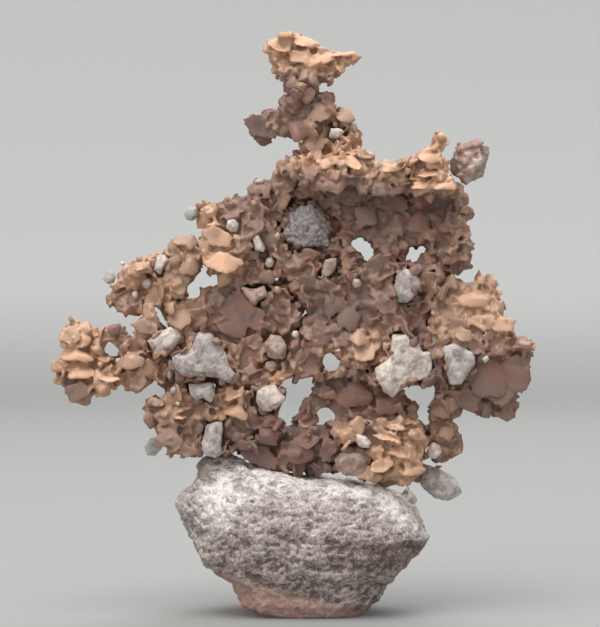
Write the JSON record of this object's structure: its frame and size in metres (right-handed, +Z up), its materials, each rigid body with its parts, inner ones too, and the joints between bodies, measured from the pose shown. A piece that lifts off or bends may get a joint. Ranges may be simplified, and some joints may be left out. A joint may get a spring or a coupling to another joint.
{
  "type": "native copper specimen on matrix",
  "caption": "Lacy branching crystallised native copper with pale calcite crystals, standing on its lump of granular grey matrix rock.",
  "frame": {"origin": "on the flat cut under the matrix rock, below the copper's trunk", "axes": "+Z up through the trunk, +X towards the fan on the viewer's right, -Y towards the showing face"},
  "size_m": [0.0479, 0.0142, 0.058],
  "materials": {
    "copper_golden": "bright golden copper crystals with brown in the hollows",
    "copper_brown": "brown tarnished copper crystals, lighter on the edges",
    "copper_tarnished": "dark purple-brown tarnished copper",
    "calcite_white": "translucent white calcite, cleaved faces",
    "calcite_grey": "translucent grey calcite, cleaved faces",
    "matrix_rock": "rough granular grey rock with white dust and a reddish foot"
  },
  "bodies": {
    "root": {"calcite_arm_low": "calcite_white", "calcite_arm_small": "calcite_white", "calcite_arm_white": "calcite_white", "calcite_big_grey": "calcite_grey", "calcite_brown_round": "calcite_grey", "calcite_brown_small": "calcite_grey", "calcite_cluster_white": "calcite_white", "calcite_coated_knob": "calcite_grey", "calcite_foot_round": "calcite_grey", "calcite_hexagonal": "calcite_grey", "calcite_large_white": "calcite_white", "calcite_left_tip": "calcite_white", "calcite_left_white": "calcite_white", "calcite_lobe_clear": "calcite_white", "calcite_lobe_white": "calcite_grey", "calcite_long_grey": "calcite_grey", "calcite_lower_arm_small": "calcite_white", "calcite_lower_grey": "calcite_grey", "calcite_mid_bead": "calcite_white", "calcite_mid_pale": "calcite_white", "calcite_mid_round": "calcite_grey", "calcite_mid_white": "calcite_white", "calcite_right_grey": "calcite_grey", "calcite_shoulder_clear": "calcite_grey", "calcite_shoulder_pale": "calcite_white", "calcite_shoulder_round": "calcite_white", "calcite_shoulder_small": "calcite_white", "calcite_strip_white": "calcite_white", "calcite_trunk_white": "calcite_white", "calcite_upper_grey": "calcite_grey", "copper_cluster": "copper_golden", "copper_crown": "copper_golden", "copper_fan": "copper_tarnished", "copper_foot": "copper_tarnished", "copper_knob": "copper_golden", "copper_left_body": "copper_brown", "copper_lobe": "copper_brown", "copper_lower_arm": "copper_brown", "copper_right_body": "copper_tarnished", "copper_spur": "copper_brown", "copper_strip": "copper_brown", "copper_trunk": "copper_brown", "copper_upper_arm": "copper_brown", "copper_upper_body": "copper_tarnished", "matrix_inclusion": "matrix_rock", "matrix_rock": "matrix_rock"}
  },
  "joints": []
}
